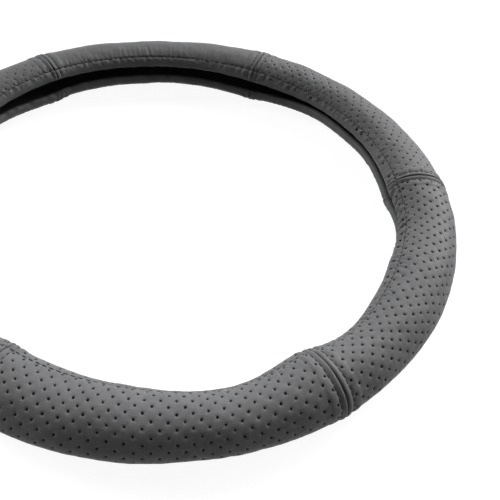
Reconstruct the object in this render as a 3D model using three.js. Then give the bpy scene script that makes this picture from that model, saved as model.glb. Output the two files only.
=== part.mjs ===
import * as THREE from "three";

// Steering wheel cover: six sewn leather panels round a rubber ring that is open towards the centre.
// Millimetres, +Z up. The origin is on the surface that the cover lies on, under the ring's centre.
// Angles are in degrees. "Round the ring" starts at +X and turns towards +Y. "Round the section"
// starts at the outermost point of the tube, passes its top at 90 and faces the centre at 180.

// The ring and its section
const RING_RADIUS = 170;
const HALF_WIDTH = 20;
const HALF_HEIGHT = 16;
const FLOOR_SINK = 0.4; // how far the round underside is pressed flat
const CENTRE_HEIGHT = HALF_HEIGHT - FLOOR_SINK;

// Layers, from the outside in
const LEATHER = 1.4;
const LINER = 2;
const CLEARANCE = 0.3;
const THREAD_RADIUS = 0.3;
const HEM_THREAD_RADIUS = 0.35;

// The mouth that the steering wheel's rim goes in by
const UPPER_LIP_ANGLE = 158;
const LOWER_LIP_ANGLE = -166;
const LIP_DROOP_ANGLE = 14; // how far the upper lip hangs lower on one side
const DROOP_CENTRE_ANGLE = 32;
const DROOP_SPREAD_ANGLE = 26;
const LIP_FOLD_ANGLE = 9.5; // angle round the section that the folded lip takes
const HEM_ANGLE = 27; // from the lip to the hem stitch
const HEM_TURN_ANGLE = 30; // how far the leather is turned back inside
const LINER_END_ANGLE = 2;

// Hem stitch groove and gathers
const GROOVE_DEPTH = 0.7;
const GROOVE_HALF_ANGLE = 4;
const GATHER_REACH_ANGLE = 16;
const GATHER_DEPTH = 0.6;
const PUCKER_DEPTH = 0.45;
const LIP_WAVE_ANGLE = 1.6;

// Seams between the panels, and the double topstitch beside each
const SEAM_ANGLES = [3.3, 64.7, 123.8, 182.2, 240.5, 299.5];
const PANEL_NAMES = ["upper_right", "far", "upper_left", "lower_left", "near", "lower_right"];
const SEAM_GAP = 0.8;
const EDGE_RISE = 0.2;
const ROLL_PLACE = 1.6; // distance from the seam of the raised roll beside it
const ROLL_RISE = 1.4;
const TOPSTITCH_PLACE = 4;
const VALLEY_RISE = 0.7;
const SHOULDER_PLACE = 6.8;
const SHOULDER_RISE = 1.2;
const ALLOWANCE_END = 10.5; // where the leather is no longer doubled
const INNER_SWELL = 2.4; // the tube swells towards the centre at each seam and narrows between

// How finely the curved forms are divided
const PANEL_STEPS = 8;
const OUTER_STEPS = 8;
const LINING_STEPS = 6;
const HEM_THREAD_STEPS = 72;

const LEATHER_COLOUR = 0x38393a;
const RUBBER_COLOUR = 0x141414;
const THREAD_COLOUR = 0x242425;

const FULL_TURN = 360;
const radians = (degrees) => degrees * Math.PI / 180;
const mix = (from, to, share) => from + (to - from) * share;
const evenly = (from, to, steps) => Array.from({ length: steps + 1 }, (_, i) => mix(from, to, i / steps));
const arcDegrees = (length) => length / RING_RADIUS * 180 / Math.PI;

// Depths of the layers below the outer face of the leather
const LINER_OUTSIDE = LEATHER + CLEARANCE;
const LINER_INSIDE = LINER_OUTSIDE + LINER;
const TURN_OUTSIDE = LINER_INSIDE + CLEARANCE;
const TURN_INSIDE = TURN_OUTSIDE + LEATHER;
const FOLD_ROUNDING = 1.5;
const FOLD_POCKET_ANGLE = LIP_FOLD_ANGLE * 0.7;

// The part of the tube's underside that is pressed flat, as an angle to each side of the bottom
const FLAT_HALF_ANGLE = Math.acos(CENTRE_HEIGHT / HALF_HEIGHT) * 180 / Math.PI;

// Position along its panel, 0 at one seam and 1 at the next, of a place round the ring
function shareOfPanel(place) {
  const seams = [...SEAM_ANGLES, SEAM_ANGLES[0] + FULL_TURN];
  const turned = (place - seams[0] + FULL_TURN) % FULL_TURN + seams[0];
  const index = seams.findIndex((seam, i) => turned >= seam && turned <= seams[i + 1]);
  return (turned - seams[index]) / (seams[index + 1] - seams[index]);
}

function swell(place, angle) {
  const innerShare = ((1 - Math.cos(radians(angle))) / 2) ** 2;
  return INNER_SWELL * innerShare * Math.cos(2 * Math.PI * shareOfPanel(place));
}

function upperLip(place) {
  const turned = (place - DROOP_CENTRE_ANGLE + FULL_TURN) % FULL_TURN;
  const away = Math.min(turned, FULL_TURN - turned);
  return UPPER_LIP_ANGLE + LIP_DROOP_ANGLE * Math.exp(-((away / DROOP_SPREAD_ANGLE) ** 2));
}

const lowerLip = () => LOWER_LIP_ANGLE;

// A point of the tube: a place round the ring, an angle round the section and a depth below the leather's
// outer face. A negative depth stands proud of it.
function tubePoint(place, angle, depth, floor) {
  const proud = swell(place, angle) - depth;
  const radius = RING_RADIUS + (HALF_WIDTH + proud) * Math.cos(radians(angle));
  const height = CENTRE_HEIGHT + (HALF_HEIGHT + proud) * Math.sin(radians(angle));
  return new THREE.Vector3(
    radius * Math.cos(radians(place)),
    radius * Math.sin(radians(place)),
    Math.max(height, floor),
  );
}

// Directions at a point of the tube: out of its surface, round the section and round the ring
function tubeDirections(place, angle) {
  const outwards = new THREE.Vector3(Math.cos(radians(place)), Math.sin(radians(place)), 0);
  const up = new THREE.Vector3(0, 0, 1);
  const cos = Math.cos(radians(angle));
  const sin = Math.sin(radians(angle));
  return {
    normal: outwards.clone().multiplyScalar(cos).addScaledVector(up, sin),
    around: up.clone().multiplyScalar(cos).addScaledVector(outwards, -sin),
    along: new THREE.Vector3(-outwards.y, outwards.x, 0),
  };
}

// Collects the triangles of one closed body
class Body {
  positions = [];
  triangles = [];

  add(point) {
    this.positions.push(point.x, point.y, point.z);
    return this.positions.length / 3 - 1;
  }

  // Joins two rows of points that run the same way, each point with its place along the row
  zip(rowA, rowB) {
    let a = 0;
    let b = 0;
    while (a < rowA.length - 1 || b < rowB.length - 1) {
      const nextA = a < rowA.length - 1 ? rowA[a + 1].place : Infinity;
      const nextB = b < rowB.length - 1 ? rowB[b + 1].place : Infinity;
      if (nextA <= nextB) {
        this.triangles.push(rowA[a].index, rowB[b].index, rowA[a + 1].index);
        a += 1;
      } else {
        this.triangles.push(rowA[a].index, rowB[b].index, rowB[b + 1].index);
        b += 1;
      }
    }
  }

  // Closes an end with a flat outline, given in the plane of the section
  cap(indices, outline, facesForward) {
    for (const [a, b, c] of THREE.ShapeUtils.triangulateShape(outline, [])) {
      const turn = facesForward ? [c, b, a] : [a, b, c];
      this.triangles.push(...turn.map((corner) => indices[corner]));
    }
  }

  mesh(name, material) {
    const geometry = new THREE.BufferGeometry();
    geometry.setAttribute("position", new THREE.Float32BufferAttribute(this.positions, 3));
    geometry.setIndex(this.triangles);
    geometry.computeVertexNormals();
    const mesh = new THREE.Mesh(geometry, material);
    mesh.name = name;
    return mesh;
  }
}

// Height of the doubled leather beside a seam, at the stations near a panel's end
const SEAM_STATIONS = [
  { offset: SEAM_GAP / 2, rise: EDGE_RISE },
  { offset: ROLL_PLACE, rise: ROLL_RISE },
  { offset: TOPSTITCH_PLACE, rise: VALLEY_RISE },
  { offset: SHOULDER_PLACE, rise: SHOULDER_RISE },
  { offset: ALLOWANCE_END, rise: 0 },
];
const STITCH_ROOM = 2 * THREAD_RADIUS + CLEARANCE;

const plainStation = (place) => ({ place, rise: 0, floor: 0, gathered: 0 });

function seamStation(place, station) {
  const floor = station.offset === TOPSTITCH_PLACE ? STITCH_ROOM : 0;
  return { place, rise: station.rise, floor, gathered: 0 };
}

// Stations along a panel: plain ones for its lining, with the seam's rolls for its outer face, and with
// the gathers between them for its hems
function panelStations(start, end) {
  const first = start + arcDegrees(SEAM_GAP / 2);
  const last = end - arcDegrees(SEAM_GAP / 2);
  const inner = evenly(first, last, PANEL_STEPS).slice(1, -1);
  const opening = SEAM_STATIONS.map((one) => seamStation(start + arcDegrees(one.offset), one));
  const closing = SEAM_STATIONS.map((one) => seamStation(end - arcDegrees(one.offset), one)).reverse();
  const rolled = [...opening, ...inner.map(plainStation), ...closing];
  const gathered = rolled.flatMap((station, i) => {
    const next = rolled[i + 1];
    const inGathers = i >= opening.length - 1 && i < rolled.length - closing.length;
    if (!inGathers) return [station];
    return [station, { ...plainStation(mix(station.place, next.place, 0.5)), gathered: 1 }];
  });
  return { plain: [first, ...inner, last].map(plainStation), rolled, gathered };
}

// Rails of a hem, from the folded lip to the end of the gathers. "side" is 1 above and -1 below.
function hemRails(lip, side) {
  const at = (back) => (place) => lip(place) - side * back;
  return [
    { row: "plain", angle: at(0), depth: () => TURN_INSIDE - FOLD_ROUNDING },
    {
      row: "gathered",
      angle: (place, station) => lip(place) + side * LIP_WAVE_ANGLE * (1 - station.gathered),
      depth: (station) => FOLD_ROUNDING - station.rise,
    },
    {
      row: "gathered",
      angle: at(LIP_FOLD_ANGLE),
      depth: (station) => PUCKER_DEPTH * station.gathered - station.rise,
    },
    {
      row: "gathered",
      angle: at(HEM_ANGLE - GROOVE_HALF_ANGLE),
      depth: (station) => PUCKER_DEPTH * station.gathered - station.rise / 2,
    },
    { row: "gathered", angle: at(HEM_ANGLE), depth: () => GROOVE_DEPTH },
    {
      row: "gathered",
      angle: at(HEM_ANGLE + GROOVE_HALF_ANGLE),
      depth: (station) => GATHER_DEPTH * station.gathered - station.rise / 2,
    },
    { row: "rolled", angle: at(HEM_ANGLE + GATHER_REACH_ANGLE), depth: (station) => -station.rise },
  ];
}

// Angles of the plain outer face between the two hems, with an edge at each side of the flat underside
function outerAngles() {
  const top = UPPER_LIP_ANGLE - HEM_ANGLE - 2 * GATHER_REACH_ANGLE;
  return [...evenly(top, -90 + FLAT_HALF_ANGLE, OUTER_STEPS), -90 - FLAT_HALF_ANGLE];
}

// Rails of the lining side: the leather turned back inside at a lip, and the pocket round the liner's lip
function turnRails(lip, side) {
  const at = (back) => (place) => lip(place) - side * back;
  return [
    { angle: at(LIP_FOLD_ANGLE), depth: TURN_INSIDE },
    { angle: at(HEM_TURN_ANGLE), depth: TURN_INSIDE },
    { angle: at(HEM_TURN_ANGLE), depth: TURN_OUTSIDE },
    { angle: at(FOLD_POCKET_ANGLE), depth: TURN_OUTSIDE },
    { angle: at(FOLD_POCKET_ANGLE), depth: LEATHER },
  ].map(({ angle, depth }) => ({ row: "plain", angle, depth: () => depth, floor: depth }));
}

// Angles shared by the leather's inner face and both faces of the liner, from below to above
function liningAngle(place, step) {
  return mix(LOWER_LIP_ANGLE + HEM_TURN_ANGLE, upperLip(place) - HEM_TURN_ANGLE, step / LINING_STEPS);
}

const liningSteps = Array.from({ length: LINING_STEPS + 1 }, (_, step) => step);

function panelRails() {
  const outer = outerAngles().map((angle) => ({
    row: "rolled",
    angle: () => angle,
    depth: (station) => -station.rise,
  }));
  const inner = liningSteps.map((step) => ({
    row: "plain",
    angle: (place) => liningAngle(place, step),
    depth: () => LEATHER,
    floor: LEATHER,
  }));
  return [
    ...hemRails(upperLip, 1),
    ...outer,
    ...hemRails(lowerLip, -1).reverse(),
    ...turnRails(lowerLip, -1),
    ...inner,
    ...turnRails(upperLip, 1).reverse(),
  ];
}

function leatherPanel(name, start, end, material) {
  const body = new Body();
  const stations = panelStations(start, end);
  const rows = panelRails().map((rail) => stations[rail.row].map((station) => {
    const angle = rail.angle(station.place, station);
    const floor = rail.floor ?? station.floor;
    const point = tubePoint(station.place, angle, rail.depth(station), floor);
    return { place: station.place, index: body.add(point), point };
  }));
  rows.forEach((row, i) => body.zip(row, rows[(i + 1) % rows.length]));
  for (const facesForward of [false, true]) {
    const ends = rows.map((row) => row.at(facesForward ? -1 : 0));
    const outline = ends.map(({ point }) => new THREE.Vector2(Math.hypot(point.x, point.y), point.z));
    body.cap(ends.map(({ index }) => index), outline, facesForward);
  }
  return body.mesh(name, material);
}

// Sweeps rings of points, each ring with as many points as the last
function sweptBody(rings, closed) {
  const body = new Body();
  const rows = rings.map((ring) => ring.map((point) => body.add(point)));
  const count = rows[0].length;
  const steps = closed ? rows.length : rows.length - 1;
  for (let i = 0; i < steps; i += 1) {
    const here = rows[i];
    const next = rows[(i + 1) % rows.length];
    for (let j = 0; j < count; j += 1) {
      const beside = (j + 1) % count;
      body.triangles.push(here[j], here[beside], next[beside], here[j], next[beside], next[j]);
    }
  }
  if (!closed) {
    for (let j = 1; j < count - 1; j += 1) {
      body.triangles.push(rows[0][0], rows[0][j + 1], rows[0][j]);
      body.triangles.push(rows.at(-1)[0], rows.at(-1)[j], rows.at(-1)[j + 1]);
    }
  }
  return body;
}

// The rubber ring has an edge at the same places as the leather's lining
function linerStations() {
  return SEAM_ANGLES.flatMap((start, i) => {
    const end = SEAM_ANGLES[i + 1] ?? SEAM_ANGLES[0] + FULL_TURN;
    return evenly(start, end, PANEL_STEPS).slice(0, -1);
  });
}

function rubberLiner(material) {
  const rings = linerStations().map((place) => {
    const endBack = FOLD_POCKET_ANGLE + LINER_END_ANGLE;
    const lining = liningSteps.map((step) => liningAngle(place, step));
    const angles = [LOWER_LIP_ANGLE + endBack, ...lining, upperLip(place) - endBack];
    const outside = angles.map((angle) => tubePoint(place, angle, LINER_OUTSIDE, LINER_OUTSIDE));
    const inside = angles.map((angle) => tubePoint(place, angle, LINER_INSIDE, LINER_INSIDE));
    return [...inside, ...outside.reverse()];
  });
  return sweptBody(rings, true).mesh("rubber_liner", material);
}

// Corners of a thread's section, round its middle, turned by two directions across the thread
function threadRing(middle, across, over, radius) {
  return evenly(0, 270, 3).map((turn) => middle.clone()
    .addScaledVector(across, radius * Math.cos(radians(turn)))
    .addScaledVector(over, radius * Math.sin(radians(turn))));
}

function hemThread(name, lip, side, material) {
  const rings = evenly(0, FULL_TURN, HEM_THREAD_STEPS).slice(0, -1).map((place) => {
    const angle = lip(place) - side * HEM_ANGLE;
    const middle = tubePoint(place, angle, 0, 0);
    const { normal, around } = tubeDirections(place, angle);
    return threadRing(middle, around, normal, HEM_THREAD_RADIUS);
  });
  return sweptBody(rings, true).mesh(name, material);
}

function topstitchThread(name, place, material) {
  const upperEnd = upperLip(place) - HEM_ANGLE - GATHER_REACH_ANGLE;
  const lowerEnd = LOWER_LIP_ANGLE + HEM_ANGLE + GATHER_REACH_ANGLE;
  const proud = VALLEY_RISE + CLEARANCE + THREAD_RADIUS;
  const rings = [upperEnd, ...outerAngles(), lowerEnd].map((angle) => {
    const middle = tubePoint(place, angle, -proud, THREAD_RADIUS);
    const { normal, along } = tubeDirections(place, angle);
    return threadRing(middle, along, normal, THREAD_RADIUS);
  });
  return sweptBody(rings, false).mesh(name, material);
}

function steeringWheelCover() {
  const leather = new THREE.MeshStandardMaterial({ color: LEATHER_COLOUR, roughness: 0.55, metalness: 0 });
  const rubber = new THREE.MeshStandardMaterial({ color: RUBBER_COLOUR, roughness: 0.85, metalness: 0 });
  const thread = new THREE.MeshStandardMaterial({ color: THREAD_COLOUR, roughness: 0.8, metalness: 0 });
  const cover = new THREE.Group();
  SEAM_ANGLES.forEach((start, i) => {
    const end = SEAM_ANGLES[i + 1] ?? SEAM_ANGLES[0] + FULL_TURN;
    cover.add(leatherPanel(`leather_panel_${PANEL_NAMES[i]}`, start, end, leather));
    const stitchOffset = arcDegrees(TOPSTITCH_PLACE);
    cover.add(topstitchThread(`seam_${i + 1}_topstitch_before`, start - stitchOffset, thread));
    cover.add(topstitchThread(`seam_${i + 1}_topstitch_after`, start + stitchOffset, thread));
  });
  cover.add(rubberLiner(rubber));
  cover.add(hemThread("upper_hem_thread", upperLip, 1, thread));
  cover.add(hemThread("lower_hem_thread", lowerLip, -1, thread));
  return cover;
}

export default steeringWheelCover();
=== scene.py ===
import math

import bpy
import numpy as np
from mathutils import Matrix, Vector


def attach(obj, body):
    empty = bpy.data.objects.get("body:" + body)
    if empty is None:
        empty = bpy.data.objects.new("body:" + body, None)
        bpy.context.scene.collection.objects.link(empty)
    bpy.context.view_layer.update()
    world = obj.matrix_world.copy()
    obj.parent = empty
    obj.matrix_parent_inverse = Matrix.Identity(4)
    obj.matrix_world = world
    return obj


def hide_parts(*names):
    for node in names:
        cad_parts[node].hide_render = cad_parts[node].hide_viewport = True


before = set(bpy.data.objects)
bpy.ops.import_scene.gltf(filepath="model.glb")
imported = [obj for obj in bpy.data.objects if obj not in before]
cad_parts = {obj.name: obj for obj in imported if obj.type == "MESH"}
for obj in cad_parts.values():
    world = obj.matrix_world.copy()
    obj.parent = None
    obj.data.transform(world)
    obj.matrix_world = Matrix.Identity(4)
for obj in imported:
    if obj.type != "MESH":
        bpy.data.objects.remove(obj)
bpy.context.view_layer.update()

METRES = 0.001

# The ring, its section and its layers: leather, liner and the hem turned in behind it. THINNEST is
# the least leather that a groove leaves.
RING_RADIUS = 170.0
HALF_WIDTH = 20.0
HALF_HEIGHT = 16.0
FLOOR_SINK = 0.4
CENTRE_HEIGHT = HALF_HEIGHT - FLOOR_SINK
LEATHER = 1.4
THINNEST = 0.15
LINER = 2.0
CLEARANCE = 0.3
LINER_OUTSIDE = LEATHER + CLEARANCE
LINER_INSIDE = LINER_OUTSIDE + LINER
TURN_OUTSIDE = LINER_INSIDE + CLEARANCE
TURN_INSIDE = TURN_OUTSIDE + LEATHER

# The mouth and its hems
UPPER_LIP_ANGLES = [
    (3, 167.5), (20, 166.5), (42, 165.0), (60, 164.5), (85, 158.0), (100, 154.5), (118, 149.5),
    (132, 150.5), (165, 157.0), (240, 158.0), (300, 158.0), (330, 165.5), (350, 170.0),
]
LOWER_LIP_ANGLE = -166.0
LIP_FOLD_ANGLE = 9.5
LIP_REACH = 2.7
# Width of the hem's band, from the stitches to the fold
UPPER_BANDS = [
    (5, 6.3), (32, 6.0), (60, 5.6), (85, 5.1), (215, 5.1), (240, 6.0), (262, 5.1), (300, 5.1), (335, 6.6),
]
LOWER_BAND = 5.1
# How far the hem runs back inside the liner
TURN_ANGLE = 20.0

# The panels and their seams
SEAM_ANGLES = [2.5, 64.5, 123.8, 182.2, 237.4, 299.2]
PANEL_NAMES = ["upper_right", "far", "upper_left", "lower_left", "near", "lower_right"]
FULL_TURN = 360.0

# Height of the doubled leather beside a seam: a rounded roll, the topstitch's valley and a shoulder
SEAM_EDGE = 0.1
TOPSTITCH_OFFSET = 3.8
SEAM_OFFSETS = [0.1, 0.22, 0.45, 0.8, 1.3, 2.1, 2.9, 3.4, 3.8, 4.2, 4.8, 5.8, 7.6, 8.6, 9.6, 12.5]
SEAM_RISES = [-1.2, -0.3, 0.5, 0.9, 1.05, 0.85, 0.5, 0.2, -0.05, 0.2, 0.45, 0.6, 0.55, 0.42, 0.12, 0.0]
# Shares of the roll that the hem's groove and the hem's band press flat
SEAM_LOST_IN_GROOVE = 0.55
SEAM_LOST_ON_BAND = 0.25

# The tube's hand-made unevenness: how far it stands proud towards the centre and away from it
INNER_SWELLS = [
    (2, 2.1), (10, 1.2), (22, -1.5), (30, -1.5), (44, -2.6), (56, 1.2), (65, 3.4), (73, 3.0), (84, 0.6),
    (98, -0.2), (112, -0.9), (121, -0.6), (128, 1.1), (143, -2.2), (162, -1.0), (182, 1.8), (212, -2.2),
    (238, 3.4), (253, 0.9), (264, -0.9), (275, -3.9), (285, -3.3), (296, 3.0), (300, 1.7), (308, -1.8),
    (316, -1.0), (327, 1.5), (339, 1.3), (348, -1.5), (353, -1.1),
]
OUTER_SWELLS = [
    (3, 0.9), (24, 0.6), (36, 0.2), (46, 0.6), (65, 0.0), (80, -1.0), (92, -1.9), (104, -1.0), (112, 0.0),
    (132, 1.3), (150, 0.4), (190, 0.1), (240, 0.4), (252, 1.0), (268, 0.7), (275, 0.1), (285, 0.5),
    (304, 0.0), (318, -0.4), (330, 0.1), (345, 0.6), (357, 1.2),
]

# Perforation: a hole in every second cell of a lattice
CELL = 3.9
BODY_ROWS = 22
LAST_ROW = BODY_ROWS + 2
HOLE_RADIUS = 0.72
HOLE_DEPTH = 0.85
# The deepest that a hole may reach, just short of the hidden side
HIDDEN_DEPTH = LEATHER - 0.05
# The holes' smallest and largest size on each panel, as shares: the far panel has none
HOLE_SIZES = {
    "upper_right": (0.45, 0.95), "far": None, "upper_left": (0.35, 0.6), "lower_left": (0.86, 1.08),
    "near": (0.86, 1.08), "lower_right": (0.86, 1.08),
}
# How far a hole strays from its cell's middle, more on a panel whose holes vary more
HOLE_WANDER = 0.7
# Of the holes on the upper hem's band that are smaller than SMALL_HOLE, this share stays
HOLES_ON_BAND = 0.3
SMALL_HOLE = 0.85

# Stitches: the lift is how far a thread stands over the leather, the sink how far its ends go down
HEM_PITCH = 4.0
HEM_STITCH = 3.0
TOPSTITCH_PITCH = 3.6
TOPSTITCH_LENGTH = 3.1
THREAD_RADIUS = 0.32
HEM_THREAD_LIFT = 0.7 * THREAD_RADIUS
HEM_THREAD_SINK = 0.5
TOPSTITCH_LIFT = 0.55 * THREAD_RADIUS
TOPSTITCH_SINK = 0.45
STITCH_RINGS = 6
STITCH_SIDES = 6
STITCH_TAPER = 0.45

# The hem's groove, the shares of its depth under a stitch and added at a stitch's ends, and the
# dimples at the ends of the topstitches
HEM_GROOVE = 0.62
HEM_GROOVE_WIDTH = 0.7
GROOVE_UNDER_STITCH = 0.7
GROOVE_AT_END = 0.35
TOPSTITCH_DIMPLE = 0.08
TOPSTITCH_DIMPLE_WIDTH = 0.6

# The hem's band: its puff, and a power that brings its lumps nearer the stitches
BAND_PUFF = 0.2
BAND_LUMP_POWER = 0.6

# A crease: its reach and its puffs' offset in its widths, the puffs' height as a share of its depth,
# the length over which it starts, the power of its fading, and its bend's range beside its slant's
CREASE_REACH = 5
CREASE_PUFF_OFFSET = 2.2
CREASE_PUFF = 0.45
CREASE_START = 1.2
CREASE_FADE_POWER = 1.3
CREASE_BEND = 0.08

# The lattice's wander grows over this distance from a seam, after a still share of it
DRIFT_DISTANCE = 12
DRIFT_STILL = 0.3

# Points of the section's curve, the liner's columns and rows, and how far its lips bulge
ARC_POINTS = 1441
LINER_COLUMNS = 360
LINER_ROWS = 25
LINER_LIP = LINER / 3

# The camera, worked out from the photograph's outline of the ring
CAMERA_DISTANCE = 499.0
CAMERA_ELEVATION = 42.02
CAMERA_ROLL = 0.151
FOCAL_PIXELS = 741.3
IMAGE_PIXELS = 500.0
RING_CENTRE_PIXEL = (170.2, 199.5)
SENSOR_WIDTH = 36.0
CLIP_METRES = (0.01, 50)


def eased(stations, place):
    """A smooth curve through (place, height) stations that close up round the ring."""
    places, heights = np.array(stations, dtype=float).T
    around = np.concatenate([places[-1:] - FULL_TURN, places, places[:2] + FULL_TURN])
    values = np.concatenate([heights[-1:], heights, heights[:2]])
    slopes = (values[2:] - values[:-2]) / (around[2:] - around[:-2])
    turned = (place - places[0]) % FULL_TURN + places[0]
    index = np.searchsorted(places, turned, side="right") - 1
    start, end = around[index + 1], around[index + 2]
    share = (turned - start) / (end - start)
    rise = share * share * (3 - 2 * share)
    leaving = share * (1 - share) ** 2 * (end - start)
    arriving = share ** 2 * (share - 1) * (end - start)
    level = values[index + 1] * (1 - rise) + values[index + 2] * rise
    return level + slopes[index] * leaving + slopes[(index + 1) % len(places)] * arriving


def swell(place, angle):
    """The broad unevenness of the tube."""
    inner_share = ((1 - np.cos(np.radians(angle))) / 2) ** 2
    outer_share = ((1 + np.cos(np.radians(angle))) / 2) ** 2
    return eased(INNER_SWELLS, place) * inner_share + eased(OUTER_SWELLS, place) * outer_share


def section_arc():
    """Angles round the section, and the length along the outer face up to each."""
    angles = np.linspace(-180, 180, ARC_POINTS)
    turn = np.radians(angles)
    speed = np.hypot(HALF_WIDTH * np.sin(turn), HALF_HEIGHT * np.cos(turn))
    lengths = np.cumsum((speed[1:] + speed[:-1]) / 2 * np.diff(turn))
    return angles, np.concatenate([[0.0], lengths])


ARC_ANGLES, ARC_LENGTHS = section_arc()


def outer_ends(place):
    """Where the outer face ends at each lip's fold, as a length along the section."""
    upper = np.interp(eased(UPPER_LIP_ANGLES, place) - LIP_FOLD_ANGLE, ARC_ANGLES, ARC_LENGTHS)
    lower = np.interp(LOWER_LIP_ANGLE + LIP_FOLD_ANGLE, ARC_ANGLES, ARC_LENGTHS)
    return upper, lower


def across(place, row):
    """The angle round the section of a row of the lattice, and how far onto the tube from each hem.
    Row 0 is the upper fold, 1 the upper hem stitch, and the last two the lower stitch and fold."""
    upper, lower = outer_ends(place)
    upper_band = eased(UPPER_BANDS, place)
    upper_stitch = upper - upper_band
    lower_stitch = lower + LOWER_BAND
    body = upper_stitch + (lower_stitch - upper_stitch) * (row - 1) / BODY_ROWS
    length = np.where(row < 1, upper - row * upper_band, body)
    length = np.where(row > LAST_ROW - 1, lower + (LAST_ROW - row) * LOWER_BAND, length)
    return np.interp(length, ARC_LENGTHS, ARC_ANGLES), upper_stitch - length, length - lower_stitch


def radius_at(place, row):
    """Distance of one point of the lattice from the ring's axis."""
    angle = across(np.array([place]), np.array([row]))[0][0]
    return RING_RADIUS + HALF_WIDTH * math.cos(math.radians(angle))


class Creases:
    """Gathers that run onto the tube from a hem's stitches, or from "before" them: each a fold with a
    place, length, depth, width and slant. They slant either way about a common "lean"."""

    def __init__(
        self, seed, spacing, length, depth, width, slant, span=(0.0, FULL_TURN), before=0.0, lean=0.0
    ):
        random = np.random.default_rng(seed)
        self.before = before
        places = []
        place = span[0]
        while place < span[1]:
            places.append(place)
            place += random.uniform(*spacing)
        count = len(places)
        self.places = np.array(places)
        self.lengths = random.uniform(*length, count)
        self.depths = random.uniform(*depth, count)
        self.widths = random.uniform(*width, count)
        self.slants = lean + random.uniform(-slant, slant, count)
        self.bends = random.uniform(-slant, slant, count) * CREASE_BEND

    def relief(self, place, radius, away):
        """Height at points that lie "away" from the hem stitch."""
        height = np.zeros_like(place)
        away = away + self.before
        near = (away > 0) & (away < self.lengths.max())
        here, gone, mm_per_degree = place[near], away[near], np.radians(radius[near])
        total = np.zeros_like(here)
        for start, length, depth, width, slant, bend in zip(
            self.places, self.lengths, self.depths, self.widths, self.slants, self.bends
        ):
            turned = (here - start + FULL_TURN / 2) % FULL_TURN - FULL_TURN / 2
            side = turned * mm_per_degree - slant * gone - bend * gone * gone
            close = (np.abs(side) < CREASE_REACH * width) & (gone < length)
            across_fold = side[close] / width
            along = gone[close] / length
            fade = np.clip(gone[close] / CREASE_START, 0, 1) * (1 - along) ** CREASE_FADE_POWER
            fold = np.exp(-(across_fold ** 2))
            puff = CREASE_PUFF * np.exp(-((np.abs(across_fold) - CREASE_PUFF_OFFSET) ** 2))
            total[close] += depth * fade * (puff - fold)
        height[near] = total
        return height


def waves(seed, count, lengths, height, slant=math.pi):
    """Gentle waves over the leather, that run round the ring or at a slant to that."""
    random = np.random.default_rng(seed)
    sizes = random.uniform(*lengths, count)
    turns = random.uniform(-slant, slant, count)
    shifts = random.uniform(0, 2 * math.pi, count)
    rows = []
    for size, turn, shift in zip(sizes, turns, shifts):
        along = 2 * math.pi * math.cos(turn) / size
        over = 2 * math.pi * math.sin(turn) / size
        rows.append((along, over, shift, height))
    return rows


def wave_relief(rows, along, over):
    """Height of the waves at distances round the ring and over the tube."""
    return sum(height * np.sin(a * along + b * over + shift) for a, b, shift, height in rows)


# All round, across the stitches at the far side, on the near right, on the upper right towards
# the second seam, and the deep slanting folds before the first seam
UPPER_GATHERS = [
    Creases(seed=11, spacing=(1.5, 3.4), length=(4, 15), depth=(0.12, 0.4), width=(0.55, 1.0), slant=0.35),
    Creases(
        seed=12, spacing=(1.1, 1.8), length=(5, 9), depth=(0.2, 0.5), width=(0.5, 0.75), slant=0.9,
        span=(4.0, 236.0), before=4.0,
    ),
    Creases(
        seed=13, spacing=(1.2, 2.4), length=(8, 17), depth=(0.25, 0.55), width=(0.5, 0.8), slant=0.3,
        span=(302.0, 363.0), before=6.0,
    ),
    Creases(
        seed=14, spacing=(0.9, 1.6), length=(8, 20), depth=(0.16, 0.36), width=(0.5, 0.85), slant=0.25,
        span=(42.0, 63.0),
    ),
    Creases(
        seed=15, spacing=(2.2, 2.9), length=(11, 16), depth=(0.9, 1.4), width=(0.8, 1.2), slant=0.15,
        span=(341.0, 360.5), before=7.5, lean=0.55,
    ),
]
LOWER_GATHERS = [
    Creases(seed=21, spacing=(1.5, 3.6), length=(4, 13), depth=(0.08, 0.22), width=(0.6, 1.1), slant=0.35),
    Creases(
        seed=22, spacing=(1.1, 1.8), length=(4, 8), depth=(0.06, 0.15), width=(0.6, 0.9), slant=0.7,
        before=3.0,
    ),
]
PLAIN_WRINKLES = Creases(
    seed=31, spacing=(0.7, 1.6), length=(12, 34), depth=(0.06, 0.19), width=(0.5, 1.0), slant=0.12,
    span=(66.0, 122.0),
)
# How strongly the hem's band and the lower lip are puckered round the ring
UPPER_PUCKERS = [
    (0, 0.6), (20, 0.8), (50, 0.85), (70, 0.55), (100, 0.6), (124, 0.55), (235, 0.4), (245, 0.15),
    (290, 0.15), (325, 0.5),
]
LOWER_PUCKER = 0.2
LOWER_LIP_PUCKERS = [(0, 1.0), (70, 1.0), (110, 3.5), (170, 4.0), (225, 1.0), (300, 1.0)]
BROAD_WAVES = waves(seed=41, count=9, lengths=(22, 60), height=0.07)
SMALL_WAVES = waves(seed=42, count=12, lengths=(6, 13), height=0.022)
BAND_WAVES = waves(seed=43, count=9, lengths=(4.5, 9.5), height=0.16, slant=0.7)
LIP_WAVES = waves(seed=44, count=6, lengths=(6, 16), height=0.06)
DRIFT_ALONG = waves(seed=45, count=5, lengths=(18, 60), height=0.22)
DRIFT_OVER = waves(seed=46, count=5, lengths=(18, 60), height=0.25)


def seam_offset(place, start, end):
    """Distance from the nearer of a panel's two seams."""
    return np.radians(np.minimum(place - start, end - place)) * RING_RADIUS


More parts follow.
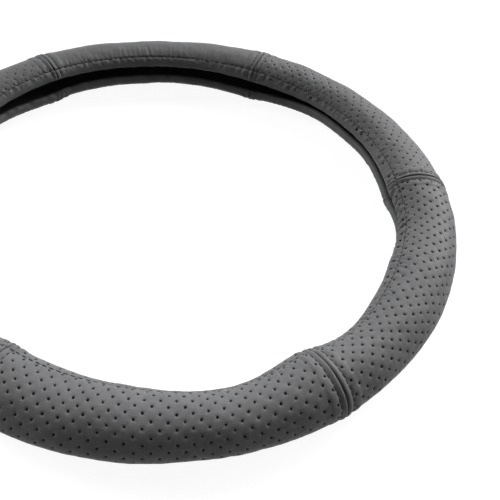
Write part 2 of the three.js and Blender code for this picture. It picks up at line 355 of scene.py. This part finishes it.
def drifted(place, row, start, end):
    """The lattice's small wander between seams and hems, where it was stretched over the ring."""
    from_seam = np.clip(seam_offset(place, start, end) / DRIFT_DISTANCE - DRIFT_STILL, 0, 1)
    from_hem = np.clip(np.minimum(row, LAST_ROW - row) - 1, 0, 1)
    fade = from_seam * from_hem
    along, over = np.radians(place) * RING_RADIUS, row * CELL
    place = place + np.degrees(wave_relief(DRIFT_ALONG, along, over) / RING_RADIUS) * fade
    return place, row + wave_relief(DRIFT_OVER, along, over) / CELL * fade


def relief(place, row, start, end):
    """How far the leather's outer face stands proud of the plain tube, and the angle it is at."""
    angle, from_upper, from_lower = across(place, row)
    radius = RING_RADIUS + HALF_WIDTH * np.cos(np.radians(angle))
    along = np.radians(place) * RING_RADIUS
    nearest = np.minimum(from_upper, from_lower)
    groove = np.exp(-((nearest / HEM_GROOVE_WIDTH) ** 2))
    band_width = np.where(from_upper < from_lower, eased(UPPER_BANDS, place), LOWER_BAND)
    band = np.clip(-nearest / band_width, 0, 1)
    height = swell(place, angle)
    offset = seam_offset(place, start, end)
    seam = np.interp(offset, SEAM_OFFSETS, SEAM_RISES)
    height += seam * (1 - SEAM_LOST_IN_GROOVE * groove) * (1 - SEAM_LOST_ON_BAND * band)
    stitch_phase = np.pi * nearest / TOPSTITCH_PITCH
    beside_stitch = np.exp(-(((offset - TOPSTITCH_OFFSET) / TOPSTITCH_DIMPLE_WIDTH) ** 2))
    height -= TOPSTITCH_DIMPLE * beside_stitch * np.cos(stitch_phase) ** 6
    hem_phase = np.pi * np.radians(place) * (radius / HEM_PITCH)
    height -= HEM_GROOVE * groove * (GROOVE_UNDER_STITCH + GROOVE_AT_END * np.cos(hem_phase) ** 4)
    puckered = np.where(from_upper < from_lower, eased(UPPER_PUCKERS, place), LOWER_PUCKER)
    lumps = wave_relief(BAND_WAVES, along, from_upper) * np.sin(np.pi * band ** BAND_LUMP_POWER)
    height += BAND_PUFF * np.sin(np.pi * band) + puckered * lumps
    for gathers in UPPER_GATHERS:
        height += gathers.relief(place, radius, from_upper)
    for gathers in LOWER_GATHERS:
        height += gathers.relief(place, radius, from_lower)
    height += PLAIN_WRINKLES.relief(place, radius, from_upper)
    ripples = wave_relief(BROAD_WAVES, along, from_upper) + wave_relief(SMALL_WAVES, along, from_upper)
    height += ripples * (1 - groove)
    return np.maximum(height, swell(place, angle) - LEATHER + THINNEST), angle


def tube_point(place, angle, height, shift=0.0, floor=0.0, inwards=0.0):
    """Points in millimetres. "shift" moves along the section, "inwards" sinks after the floor is met."""
    turn = np.radians(angle)
    wide = (HALF_WIDTH + height) * np.cos(turn) - shift * np.sin(turn)
    high = (HALF_HEIGHT + height) * np.sin(turn) + shift * np.cos(turn)
    high = np.maximum(CENTRE_HEIGHT + high, floor) - inwards * np.sin(turn)
    radius = RING_RADIUS + wide - inwards * np.cos(turn)
    ahead = np.radians(place)
    return np.stack([radius * np.cos(ahead), radius * np.sin(ahead), high], axis=-1)


def make_object(name, points, faces, materials, face_materials=None):
    """A smooth mesh object in metres."""
    mesh = bpy.data.meshes.new(name)
    mesh.from_pydata((np.asarray(points) * METRES).tolist(), [], faces)
    for material in materials:
        mesh.materials.append(material)
    if face_materials is not None:
        mesh.polygons.foreach_set("material_index", face_materials)
    mesh.polygons.foreach_set("use_smooth", [True] * len(mesh.polygons))
    mesh.update()
    piece = bpy.data.objects.new(name, mesh)
    bpy.context.scene.collection.objects.link(piece)
    return piece


# Fine divisions of the lattice's special cells, as shares from the seam or the stitch
HEM_SHARES = [0.0, 0.06, 0.15, 0.3, 0.5, 0.75, 1.0]
BAND_SHARES = [0.0, 0.06, 0.15, 0.3, 0.5, 0.7, 0.85, 1.0]
COLUMN_SHARES = [0.0, 1 / 6, 1 / 3, 0.5, 2 / 3, 5 / 6, 1.0]
ROW_SHARES = [0.0, 0.25, 0.5, 0.75, 1.0]


def divided(edges, shares):
    """Fine lines between the lattice's cell edges, and the index of the line at each edge."""
    lines = [edges[0]]
    marks = [0]
    for low, high, parts in zip(edges, edges[1:], shares):
        lines.extend(low + (high - low) * part for part in parts[1:])
        marks.append(len(lines) - 1)
    return np.array(lines), marks


def mirrored(shares):
    """The same divisions counted from the other end."""
    return [1 - share for share in reversed(shares)]


def lattice_columns(start, end):
    """Lines across a panel from seam to seam, finest on the rolls beside the seams."""
    degrees_per_mm = 180 / math.pi / RING_RADIUS
    ends = [SEAM_EDGE, TOPSTITCH_OFFSET, 2 * TOPSTITCH_OFFSET]
    length = (end - start) / degrees_per_mm
    count = round((length - 2 * ends[-1]) / CELL)
    inner = np.linspace(ends[-1], length - ends[-1], count + 1)
    edges = [*ends[:-1], *inner, *[length - one for one in reversed(ends[:-1])]]
    roll = [(one - ends[0]) / (ends[1] - ends[0]) for one in SEAM_OFFSETS if one <= ends[1]]
    shoulder = [(one - ends[1]) / (ends[2] - ends[1]) for one in SEAM_OFFSETS if ends[1] <= one <= ends[2]]
    shares = [roll, shoulder, *[COLUMN_SHARES] * count, mirrored(shoulder), mirrored(roll)]
    lines, marks = divided(edges, shares)
    return start + lines * degrees_per_mm, marks


def lattice_rows():
    """Lines round the ring from the upper fold to the lower one, finest beside the hem stitches."""
    body = [HEM_SHARES, *[ROW_SHARES] * (BODY_ROWS - 2), mirrored(HEM_SHARES)]
    return divided(list(range(LAST_ROW + 1)), [mirrored(BAND_SHARES), *body, BAND_SHARES])


# Rings of a hole, from the leather's face down: how much wider than the hole, and depth. The wall
# above the last ring and the hole's bottom are painted dark: painted shade inside the hole, together
# with the black liner that shows through it.
HOLE_RINGS = [(0.55, 0.06), (0.15, 0.2), (-0.02, 0.4), (-0.1, HOLE_DEPTH)]
PAINTED_SHADE_FROM_RING = 3


class Sheet:
    """Collects a panel's points, as places, rows and depths, and its faces."""

    def __init__(self, columns, rows):
        self.columns = columns
        self.rows = rows
        grid = np.meshgrid(columns, rows, indexing="ij")
        self.place = [grid[0].ravel()]
        self.row = [grid[1].ravel()]
        self.depth = [np.zeros(grid[0].size)]
        self.count = grid[0].size
        self.faces = []
        # Marks each face painted dark: painted shade inside a hole, with the black liner below it
        self.dark = []

    def at(self, column, row):
        """The number of the lattice's point where these lines cross."""
        return column * len(self.rows) + row

    def add_face(self, corners, dark=False):
        self.faces.append(corners)
        self.dark.append(int(dark))

    def plain_cell(self, columns, rows):
        """A cell without a hole, as a grid of faces."""
        for i in range(*columns):
            for j in range(*rows):
                self.add_face((self.at(i, j), self.at(i, j + 1), self.at(i + 1, j + 1), self.at(i + 1, j)))

    def hole_cell(self, columns, rows, size, wander):
        """A cell with a round hole: rings of points run from the cell's border to the hole's bottom."""
        left, right = columns
        low, high = rows
        border = [(left, j) for j in range(low, high)] + [(i, high) for i in range(left, right)]
        border += [(right, j) for j in range(high, low, -1)] + [(i, low) for i in range(right, left, -1)]
        place = (self.columns[left] + self.columns[right]) / 2
        row = (self.rows[low] + self.rows[high]) / 2
        mm_per_degree = math.radians(radius_at(place, row))
        row_height = LOWER_BAND if low == 0 or high == len(self.rows) - 1 else CELL
        side = np.array([(self.columns[i] - place) * mm_per_degree for i, j in border])
        up = np.array([(self.rows[j] - row) * row_height for i, j in border])
        reach = np.hypot(side, up)
        last = [self.at(i, j) for i, j in border]
        count = len(border)
        for number, (wider, depth) in enumerate(HOLE_RINGS):
            radius = HOLE_RADIUS * size + wider
            ring = list(range(self.count, self.count + count))
            self.place.append(place + (side / reach * radius + wander[0]) / mm_per_degree)
            self.row.append(row + (up / reach * radius + wander[1]) / row_height)
            self.depth.append(np.full(count, depth))
            self.count += count
            for k in range(count):
                after = (k + 1) % count
                # Faces from this ring down are painted dark, as painted shade inside the hole
                self.add_face((last[k], last[after], ring[after], ring[k]), number >= PAINTED_SHADE_FROM_RING)
            last = ring
        # The hole's bottom, painted dark: painted shade with the black liner below it
        self.add_face(tuple(last), True)

    def close(self, hidden_rows):
        """Faces over the hidden rows, whose points follow the sheet's own, and over both seam ends."""
        count = len(self.columns)
        last_row = len(self.rows) - 1
        chain = [[self.at(i, last_row) for i in range(count)]]
        chain += [[self.count + k * count + i for i in range(count)] for k in range(hidden_rows)]
        chain.append([self.at(i, 0) for i in range(count)])
        for here, after in zip(chain, chain[1:]):
            for i in range(count - 1):
                self.add_face((here[i], after[i], after[i + 1], here[i + 1]))
        for column, turned in ((0, False), (count - 1, True)):
            edge = [self.at(column, j) for j in range(last_row + 1)] + [one[column] for one in chain[1:-1]]
            self.add_face(tuple(edge[::-1] if turned else edge))

    def arrays(self):
        return np.concatenate(self.place), np.concatenate(self.row), np.concatenate(self.depth)


# The rows that fold round a lip and close the leather's hidden side
FOLD_STEPS = 7
POCKET_STEPS = 3
RETURN_STEPS = 2
LINING_STEPS = 9
# Parts the upper lip's waves from the lower lip's
LIP_WAVE_SHIFT = 3.0


def lip_rows(place, face_height, side):
    """Rows of points from the outer face's end, round the fold, back inside and into the liner's
    pocket, and the fold's angle. The side is 1 for the upper lip and -1 for the lower."""
    lip = eased(UPPER_LIP_ANGLES, place) if side > 0 else np.full_like(place, LOWER_LIP_ANGLE)
    fold = lip - side * LIP_FOLD_ANGLE
    inner = swell(place, fold)
    pucker = 1.0 if side > 0 else eased(LOWER_LIP_PUCKERS, place)
    along = np.radians(place) * RING_RADIUS
    reach = LIP_REACH + pucker * wave_relief(LIP_WAVES, along, side * LIP_WAVE_SHIFT)
    half = (face_height - inner + TURN_INSIDE) / 2
    middle = (face_height + inner - TURN_INSIDE) / 2
    points = []
    for turn in np.linspace(0, math.pi, FOLD_STEPS + 1)[1:]:
        height = middle + half * math.cos(turn)
        points.append(tube_point(place, fold, height, side * reach * math.sin(turn)))
    for share in np.linspace(0, 1, RETURN_STEPS + 1)[1:]:
        angle = fold - side * TURN_ANGLE * share
        points.append(tube_point(place, angle, swell(place, angle) - TURN_INSIDE))
    points.append(tube_point(place, angle, swell(place, angle) - TURN_OUTSIDE))
    pocket_half = (TURN_OUTSIDE - LEATHER) / 2
    for turn in np.linspace(math.pi, 0, POCKET_STEPS + 1):
        height = inner - LEATHER - pocket_half + pocket_half * math.cos(turn)
        points.append(tube_point(place, fold, height, side * pocket_half * math.sin(turn)))
    return points, fold


def lining_rows(place, upper_fold, lower_fold):
    """Rows of the leather's hidden side, from the lower pocket to the upper."""
    for share in np.linspace(0, 1, LINING_STEPS + 2)[1:-1]:
        angle = lower_fold + (upper_fold - lower_fold) * share
        yield tube_point(place, angle, swell(place, angle) - LEATHER, floor=LEATHER)


def fill_cells(sheet, column_marks, row_marks, sizes):
    """Covers the lattice: with holes in every second cell, where the panel has any, and plain cells."""
    random = np.random.default_rng(len(sheet.columns))
    least, most = sizes or (0, 0)
    last_cell = len(column_marks) - 2
    for c, across_cell in enumerate(zip(column_marks, column_marks[1:])):
        for r, along_cell in enumerate(zip(row_marks, row_marks[1:])):
            size = random.uniform(least, most)
            wander = random.uniform(-1, 1, 2) * HOLE_WANDER * (most - least)
            beside_seam = c in (0, last_cell)
            small_on_band = r == 0 and size < SMALL_HOLE
            lost = beside_seam or small_on_band and random.uniform() > HOLES_ON_BAND
            if sizes and (c + r) % 2 == 0 and not lost:
                sheet.hole_cell(across_cell, along_cell, size, wander)
            else:
                sheet.plain_cell(across_cell, along_cell)


def leather_panel(name, start, end, materials):
    """One closed panel: the perforated outer face, both folded lips and the hidden side."""
    columns, column_marks = lattice_columns(start, end)
    rows, row_marks = lattice_rows()
    sheet = Sheet(columns, rows)
    fill_cells(sheet, column_marks, row_marks, HOLE_SIZES[name])
    place, row, depth = sheet.arrays()
    place, row = drifted(place, row, start, end)
    height, angle = relief(place, row, start, end)
    spare = height - swell(place, angle) + HIDDEN_DEPTH
    outer = tube_point(place, angle, height, inwards=np.minimum(depth, np.maximum(spare, 0.0)))
    heights = height[: len(columns) * len(rows)].reshape(len(columns), len(rows))
    upper_points, upper_fold = lip_rows(columns, heights[:, 0], 1)
    lower_points, lower_fold = lip_rows(columns, heights[:, -1], -1)
    hidden = [*lower_points, *lining_rows(columns, upper_fold, lower_fold), *reversed(upper_points)]
    sheet.close(len(hidden))
    points = np.concatenate([outer, *hidden])
    used = sorted({corner for face in sheet.faces for corner in face})
    renumber = np.full(len(points), -1)
    renumber[used] = np.arange(len(used))
    faces = [tuple(renumber[list(face)].tolist()) for face in sheet.faces]
    return make_object(f"panel_{name}", points[used], faces, materials, sheet.dark)


def stitch(middle, direction, normal, length, sink):
    """One stitch: a short arched thread with its ends drawn down into the leather."""
    side = np.cross(direction, normal)
    turns = np.linspace(0, 2 * math.pi, STITCH_SIDES + 1)[:-1]
    rings = []
    for share in np.linspace(-1, 1, STITCH_RINGS):
        lift = (1 - share ** 4) * sink - sink
        thickness = THREAD_RADIUS * (1 - STITCH_TAPER * share ** 6)
        centre = middle + direction * share * length / 2 + normal * lift
        rings.append([centre + thickness * (math.cos(t) * side + math.sin(t) * normal) for t in turns])
    return rings


class Threads:
    """Collects the points and faces of closed stitches."""

    def __init__(self):
        self.points = []
        self.faces = []

    def add(self, rings):
        base = len(self.points)
        count = len(rings[0])
        for ring in rings:
            self.points.extend(ring)
        for i in range(len(rings) - 1):
            for k in range(count):
                a = base + i * count + k
                b = base + i * count + (k + 1) % count
                self.faces.append((a, b, b + count, a + count))
        last = base + (len(rings) - 1) * count
        self.faces.append(tuple(base + k for k in reversed(range(count))))
        self.faces.append(tuple(last + k for k in range(count)))


def face_points(place, row, lift):
    """Points over the leather's face, with the directions out of it and round the ring."""
    seams = np.array([*SEAM_ANGLES, SEAM_ANGLES[0] + FULL_TURN])
    turned = (place - seams[0]) % FULL_TURN + seams[0]
    panel = np.searchsorted(seams, turned, side="right") - 1
    height, angle = relief(turned, row, seams[panel], seams[panel + 1])
    turn, ahead = np.radians(angle), np.radians(turned)
    out = np.stack([np.cos(turn) * np.cos(ahead), np.cos(turn) * np.sin(ahead), np.sin(turn)], axis=-1)
    along = np.stack([-np.sin(ahead), np.cos(ahead), np.zeros_like(ahead)], axis=-1)
    return tube_point(turned, angle, height + lift, floor=2 * THREAD_RADIUS), out, along


def hem_stitches(name, row, node, material):
    """The line of stitches along a hem, all round the ring."""
    threads = Threads()
    count = round(2 * math.pi * radius_at(0.0, row) / HEM_PITCH)
    places = FULL_TURN * (np.arange(count) + 0.5) / count
    for middle, out, along in zip(*face_points(places, np.full(count, row), HEM_THREAD_LIFT)):
        threads.add(stitch(middle, along, out, HEM_STITCH, HEM_THREAD_SINK))
    finished_thread(name, threads, node, material)


def topstitches(name, seam, side, node, material):
    """The line of stitches beside a seam, over the whole outer face."""
    threads = Threads()
    place = seam + side * math.degrees(TOPSTITCH_OFFSET / RING_RADIUS)
    upper, lower = outer_ends(place)
    count = int((upper - lower) / TOPSTITCH_PITCH)
    rows = rows_at(place, (np.arange(count) + 0.5) * (upper - lower) / count)
    for middle, out, along in zip(*face_points(np.full(count, place), rows, TOPSTITCH_LIFT)):
        threads.add(stitch(middle, np.cross(along, out), out, TOPSTITCH_LENGTH, TOPSTITCH_SINK))
    finished_thread(name, threads, node, material)


def rows_at(place, lengths):
    """The lattice rows that lie these lengths along the outer face from the upper fold."""
    upper, lower = outer_ends(place)
    total = upper - lower
    marks = [0, eased(UPPER_BANDS, place), total - LOWER_BAND, total]
    return np.interp(lengths, marks, [0, 1, LAST_ROW - 1, LAST_ROW])


def finished_thread(name, threads, node, material):
    """Makes the piece that takes a thread node's place."""
    piece = make_object(name, threads.points, threads.faces, [material])
    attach(piece, "root")
    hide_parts(node)


def rubber_ring(material):
    """The moulded liner: an open ring with rounded lips that follows the leather."""
    places = np.linspace(0, FULL_TURN, LINER_COLUMNS + 1)[:-1]
    lining = np.linspace(0, 1, LINER_ROWS)
    half_way = (LINER_OUTSIDE + LINER_INSIDE) / 2
    upper = eased(UPPER_LIP_ANGLES, places) - LIP_FOLD_ANGLE
    lower = LOWER_LIP_ANGLE + LIP_FOLD_ANGLE
    rows = []
    for share in lining:
        angle = lower + (upper - lower) * share
        rows.append(tube_point(places, angle, swell(places, angle) - LINER_OUTSIDE, floor=LINER_OUTSIDE))
    rows.append(tube_point(places, upper, swell(places, upper) - half_way, shift=LINER_LIP))
    for share in lining[::-1]:
        angle = lower + (upper - lower) * share
        rows.append(tube_point(places, angle, swell(places, angle) - LINER_INSIDE, floor=LINER_INSIDE))
    rows.append(tube_point(places, lower, swell(places, lower) - half_way, shift=-LINER_LIP))
    points = np.concatenate(rows)
    count = len(places)
    faces = []
    for k in range(len(rows)):
        after = (k + 1) % len(rows)
        for i in range(count):
            beside = (i + 1) % count
            faces.append((k * count + i, k * count + beside, after * count + beside, after * count + i))
    piece = make_object("rubber_ring", points, faces, [material])
    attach(piece, "root")
    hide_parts("rubber_liner")


# The part of a noise's values that is spread over the whole range
NOISE_RANGE = (0.3, 0.7)


class Shader:
    """A new material with helpers that add and join nodes."""

    def __init__(self, name):
        self.material = bpy.data.materials.new(name)
        self.material.use_nodes = True
        self.nodes = self.material.node_tree.nodes
        self.links = self.material.node_tree.links
        self.surface = self.nodes["Principled BSDF"]
        self.where = self.nodes.new("ShaderNodeTexCoord").outputs["Object"]

    def set(self, **values):
        for name, value in values.items():
            self.surface.inputs[name.replace("_", " ")].default_value = value

    def noise(self, size_mm, detail=2.0, roughness=0.5):
        node = self.nodes.new("ShaderNodeTexNoise")
        node.inputs["Scale"].default_value = 1 / (size_mm * METRES)
        node.inputs["Detail"].default_value = detail
        node.inputs["Roughness"].default_value = roughness
        self.links.new(self.where, node.inputs["Vector"])
        return node.outputs["Fac"]

    def cells(self, size_mm):
        node = self.nodes.new("ShaderNodeTexVoronoi")
        node.feature = "SMOOTH_F1"
        node.inputs["Scale"].default_value = 1 / (size_mm * METRES)
        self.links.new(self.where, node.inputs["Vector"])
        return node.outputs["Distance"]

    def spread(self, source, low, high, target=None):
        """Maps a noise to a range, and joins it to the surface's socket of that name."""
        node = self.nodes.new("ShaderNodeMapRange")
        node.inputs["From Min"].default_value = NOISE_RANGE[0]
        node.inputs["From Max"].default_value = NOISE_RANGE[1]
        node.inputs["To Min"].default_value = low
        node.inputs["To Max"].default_value = high
        self.links.new(source, node.inputs["Value"])
        if target:
            self.links.new(node.outputs["Result"], self.surface.inputs[target])
        return node.outputs["Result"]

    def colours(self, source, dark, light):
        node = self.nodes.new("ShaderNodeMix")
        node.data_type = "RGBA"
        node.inputs["A"].default_value = (*dark, 1)
        node.inputs["B"].default_value = (*light, 1)
        self.links.new(source, node.inputs["Factor"])
        self.links.new(node.outputs["Result"], self.surface.inputs["Base Color"])

    def bump(self, source, height_mm, strength=1.0, before=None):
        node = self.nodes.new("ShaderNodeBump")
        node.inputs["Strength"].default_value = strength
        node.inputs["Distance"].default_value = height_mm * METRES
        self.links.new(source, node.inputs["Height"])
        if before is not None:
            self.links.new(before, node.inputs["Normal"])
        self.links.new(node.outputs["Normal"], self.surface.inputs["Normal"])
        return node.outputs["Normal"]


def leather_material():
    shader = Shader("leather")
    shader.set(Specular_IOR_Level=0.08)
    patches = shader.spread(shader.noise(9, detail=6, roughness=0.75), 0, 1)
    shader.colours(patches, dark=(0.108, 0.109, 0.112), light=(0.139, 0.14, 0.143))
    shader.spread(shader.noise(3, detail=4, roughness=0.6), 0.42, 0.54, "Roughness")
    soft = shader.bump(shader.noise(2.4, detail=3, roughness=0.6), height_mm=0.12, strength=0.6)
    pebbles = shader.bump(shader.cells(0.9), height_mm=0.09, strength=0.9, before=soft)
    pores = shader.noise(0.35, detail=3, roughness=0.6)
    shader.bump(pores, height_mm=0.03, strength=0.5, before=pebbles)
    return shader.material


# Painted shade: the near-black walls and bottoms of the holes, for the shade inside them together with the
# black liner seen through them
def hole_shade_material():
    shader = Shader("hole")
    shader.set(Specular_IOR_Level=0.1)
    patches = shader.spread(shader.noise(0.6), 0, 1)
    shader.colours(patches, dark=(0.03, 0.03, 0.03), light=(0.045, 0.045, 0.045))
    shader.spread(shader.noise(0.5), 0.8, 0.95, "Roughness")
    return shader.material


def rubber_material():
    shader = Shader("rubber")
    shader.set(Specular_IOR_Level=0.2)
    patches = shader.spread(shader.noise(8, detail=4), 0, 1)
    shader.colours(patches, dark=(0.07, 0.07, 0.07), light=(0.09, 0.09, 0.09))
    shader.spread(shader.noise(2, detail=3), 0.7, 0.85, "Roughness")
    shader.bump(shader.noise(0.5, detail=4), height_mm=0.04, strength=0.6)
    return shader.material


def thread_material():
    shader = Shader("thread")
    shader.set(Specular_IOR_Level=0.3)
    patches = shader.spread(shader.noise(1.2, detail=3), 0, 1)
    shader.colours(patches, dark=(0.012, 0.012, 0.013), light=(0.024, 0.024, 0.026))
    shader.spread(shader.noise(0.4, detail=3), 0.6, 0.8, "Roughness")
    shader.bump(shader.noise(0.18), height_mm=0.05, strength=0.8)
    return shader.material


def cover_pieces():
    """Every piece of the cover, each in place of its CAD node."""
    leather = leather_material()
    # The holes' painted shade, with the black liner under it
    hole = hole_shade_material()
    thread = thread_material()
    seams = [*SEAM_ANGLES, SEAM_ANGLES[0] + FULL_TURN]
    for i, name in enumerate(PANEL_NAMES):
        panel = leather_panel(name, seams[i], seams[i + 1], [leather, hole])
        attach(panel, "root")
        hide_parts(f"leather_panel_{name}")
        for word, side in (("before", -1), ("after", 1)):
            node = f"seam_{i + 1}_topstitch_{word}"
            topstitches(f"seam_{i + 1}_stitches_{word}", seams[i], side, node, thread)
    hem_stitches("upper_hem_stitches", 1.0, "upper_hem_thread", thread)
    hem_stitches("lower_hem_stitches", LAST_ROW - 1.0, "lower_hem_thread", thread)
    rubber_ring(rubber_material())


def camera_axes():
    """The camera's place, and its right, up and back directions, from the ring centre's pixel."""
    elevation = math.radians(CAMERA_ELEVATION)
    place = Vector((0, -CAMERA_DISTANCE * math.cos(elevation), CAMERA_DISTANCE * math.sin(elevation)))
    forward = -place.normalized()
    right = Vector((1, 0, 0))
    down = forward.cross(right)
    level = Matrix((right, down, forward))
    middle = IMAGE_PIXELS / 2
    across_image = (RING_CENTRE_PIXEL[0] - middle) / FOCAL_PIXELS
    down_image = (RING_CENTRE_PIXEL[1] - middle) / FOCAL_PIXELS
    towards = Vector((across_image, down_image, 1))
    swing = Vector((0, 0, 1)).rotation_difference(towards).to_matrix()
    roll = Matrix.Rotation(math.radians(CAMERA_ROLL), 3, "Z")
    axes = swing @ roll @ level
    place.z += CENTRE_HEIGHT
    return place, axes[0], -axes[1], -axes[2]


def make_camera():
    place, right, up, back = camera_axes()
    data = bpy.data.cameras.new("camera")
    data.sensor_width = SENSOR_WIDTH
    data.lens = FOCAL_PIXELS / IMAGE_PIXELS * SENSOR_WIDTH
    data.clip_start, data.clip_end = CLIP_METRES
    camera = bpy.data.objects.new("camera", data)
    turned = Matrix((right, up, back)).transposed().to_4x4()
    camera.matrix_world = Matrix.Translation(place * METRES) @ turned
    bpy.context.scene.collection.objects.link(camera)
    bpy.context.scene.camera = camera


# The softboxes, in metres and degrees, then each one's azimuth, elevation and power in watts
LIGHT_DISTANCE = 1.5
LIGHT_SIZE = 1.0
LIGHT_SPREAD = 34.0
LIGHT_AIM = (-0.02, -0.36, 0.02)
LIGHTS = {
    "right": (15, 30, 0.6), "far_right": (40, 25, 2.9), "far": (68, 38, 2.1), "far_left": (150, 25, 2.7),
}
WORLD_STRENGTH = 0.05


def area_light(name, azimuth, elevation, power):
    """A softbox that faces the ring's near side. Azimuth 0 is on +X and 90 on +Y."""
    data = bpy.data.lights.new(name, "AREA")
    data.shape = "SQUARE"
    data.size = LIGHT_SIZE
    data.spread = math.radians(LIGHT_SPREAD)
    data.energy = power
    light = bpy.data.objects.new(name, data)
    turn, rise = math.radians(azimuth), math.radians(elevation)
    spot = Vector((math.cos(turn) * math.cos(rise), math.sin(turn) * math.cos(rise), math.sin(rise)))
    light.location = Vector(LIGHT_AIM) + spot * LIGHT_DISTANCE
    light.rotation_euler = spot.to_track_quat("Z", "Y").to_euler()
    bpy.context.scene.collection.objects.link(light)


def view_rays(nodes, links):
    """1 for camera, glossy and transmission rays, 0 for the rest."""
    path = nodes.new("ShaderNodeLightPath")
    total = path.outputs["Is Camera Ray"]
    for name in ("Is Glossy Ray", "Is Transmission Ray"):
        node = nodes.new("ShaderNodeMath")
        node.operation = "MAXIMUM"
        links.new(total, node.inputs[0])
        links.new(path.outputs[name], node.inputs[1])
        total = node.outputs[0]
    return total


def make_world():
    """White where it is seen, and a faint light on the rest."""
    world = bpy.data.worlds.new("studio")
    world.use_nodes = True
    nodes, links = world.node_tree.nodes, world.node_tree.links
    plain = nodes["Background"]
    plain.inputs["Color"].default_value = (1, 1, 1, 1)
    plain.inputs["Strength"].default_value = WORLD_STRENGTH
    shown = nodes.new("ShaderNodeBackground")
    shown.inputs["Color"].default_value = (1, 1, 1, 1)
    shown.inputs["Strength"].default_value = 1
    mix = nodes.new("ShaderNodeMixShader")
    links.new(view_rays(nodes, links), mix.inputs["Fac"])
    links.new(plain.outputs["Background"], mix.inputs[1])
    links.new(shown.outputs["Background"], mix.inputs[2])
    links.new(mix.outputs["Shader"], nodes["World Output"].inputs["Surface"])
    bpy.context.scene.world = world


# The floor: what it throws back onto the object, and what the camera sees of it
FLOOR_HALF_SIZE = 4000.0
FLOOR_PALE = 0.65
FLOOR_SHADE = 0.22
FLOOR_GLOW = 0.93


def make_floor():
    """A pale floor that the camera sees as white with the object's faint shadow."""
    half = FLOOR_HALF_SIZE
    corners = [(-half, -half, 0), (half, -half, 0), (half, half, 0), (-half, half, 0)]
    material = bpy.data.materials.new("floor")
    material.use_nodes = True
    nodes, links = material.node_tree.nodes, material.node_tree.links
    nodes.remove(nodes["Principled BSDF"])
    pale = nodes.new("ShaderNodeBsdfDiffuse")
    pale.inputs["Color"].default_value = (FLOOR_PALE, FLOOR_PALE, FLOOR_PALE, 1)
    shade = nodes.new("ShaderNodeBsdfDiffuse")
    shade.inputs["Color"].default_value = (FLOOR_SHADE, FLOOR_SHADE, FLOOR_SHADE, 1)
    glow = nodes.new("ShaderNodeEmission")
    glow.inputs["Strength"].default_value = FLOOR_GLOW
    both = nodes.new("ShaderNodeAddShader")
    links.new(shade.outputs[0], both.inputs[0])
    links.new(glow.outputs[0], both.inputs[1])
    mix = nodes.new("ShaderNodeMixShader")
    links.new(view_rays(nodes, links), mix.inputs["Fac"])
    links.new(pale.outputs[0], mix.inputs[1])
    links.new(both.outputs[0], mix.inputs[2])
    links.new(mix.outputs[0], nodes["Material Output"].inputs["Surface"])
    floor = make_object("floor", corners, [(0, 1, 2, 3)], [material])


make_camera()
make_floor()
make_world()
for light_name, placing in LIGHTS.items():
    area_light(light_name, *placing)
cover_pieces()

bpy.context.scene.view_settings.view_transform = "Standard"
